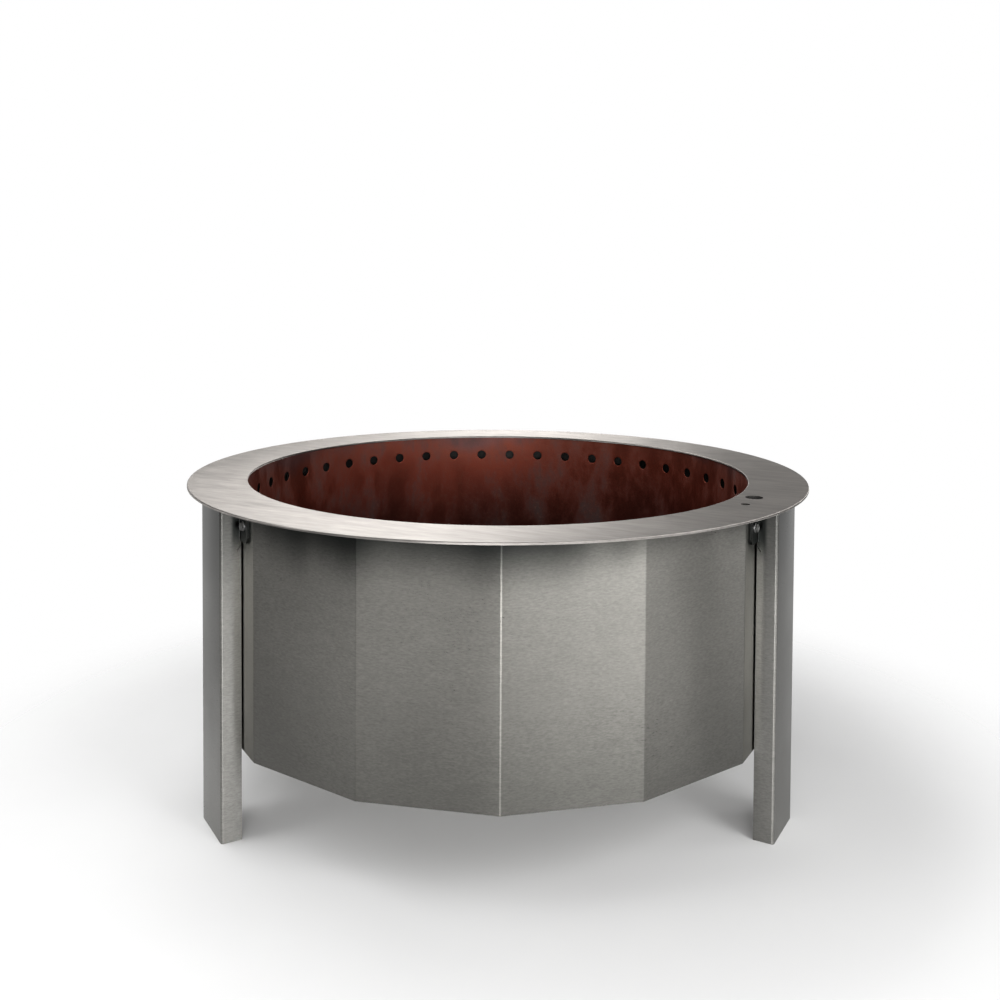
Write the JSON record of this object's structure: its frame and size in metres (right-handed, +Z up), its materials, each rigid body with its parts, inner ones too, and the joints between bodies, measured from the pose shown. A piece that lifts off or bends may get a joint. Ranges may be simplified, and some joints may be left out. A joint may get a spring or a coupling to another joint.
{
  "type": "smokeless fire pit",
  "caption": "Round smokeless fire pit: a faceted double-wall steel body under a wide flat rim, on channel legs, with a lift-out grate and ash pan.",
  "frame": {"origin": "on the ground, under the centre of the body", "axes": "+Z up; -Y towards the front fold of the body, with a leg 60 degrees to each side of it and one at +Y"},
  "size_m": [0.9524, 0.9524, 0.465],
  "materials": {
    "rim_steel": "brushed",
    "wall_steel": "brushed",
    "leg_steel": "brushed",
    "burnt_steel": "heat stained",
    "inner_steel": "mill",
    "sooted_steel": "sooted",
    "zinc_steel": "satin"
  },
  "bodies": {
    "body": {"rim": "rim_steel", "outer_panel_front": "wall_steel", "outer_panel_right": "wall_steel", "outer_panel_left": "wall_steel", "leg_right": "leg_steel", "seam_cover_right": "wall_steel", "leg_bolt_right_1": "zinc_steel", "leg_nut_right_1": "zinc_steel", "leg_bolt_right_2": "zinc_steel", "leg_nut_right_2": "zinc_steel", "leg_rear": "leg_steel", "seam_cover_rear": "wall_steel", "leg_bolt_rear_1": "zinc_steel", "leg_nut_rear_1": "zinc_steel", "leg_bolt_rear_2": "zinc_steel", "leg_nut_rear_2": "zinc_steel", "leg_left": "leg_steel", "seam_cover_left": "wall_steel", "leg_bolt_left_1": "zinc_steel", "leg_nut_left_1": "zinc_steel", "leg_bolt_left_2": "zinc_steel", "leg_nut_left_2": "zinc_steel", "inner_wall": "burnt_steel", "base_plate": "inner_steel", "rim_bracket_right_1": "inner_steel", "rim_bracket_right_2": "inner_steel", "wall_spacer_right": "inner_steel", "rim_bracket_rear_1": "inner_steel", "rim_bracket_rear_2": "inner_steel", "wall_spacer_rear": "inner_steel", "rim_bracket_left_1": "inner_steel", "rim_bracket_left_2": "inner_steel", "wall_spacer_left": "inner_steel", "post_socket": "inner_steel"},
    "ash_pan": {"ash_pan": "sooted_steel"},
    "grate": {"fire_grate": "sooted_steel", "grate_foot_1": "sooted_steel", "grate_foot_2": "sooted_steel", "grate_foot_3": "sooted_steel", "grate_foot_4": "sooted_steel"}
  },
  "joints": [
    {"name": "ash_pan_lift", "type": "slide", "parent": "body", "child": "ash_pan", "axis": [0, 0, 1], "range_m": [0, 0.33]},
    {"name": "grate_lift", "type": "slide", "parent": "ash_pan", "child": "grate", "axis": [0, 0, 1], "range_m": [0, 0.33]}
  ]
}
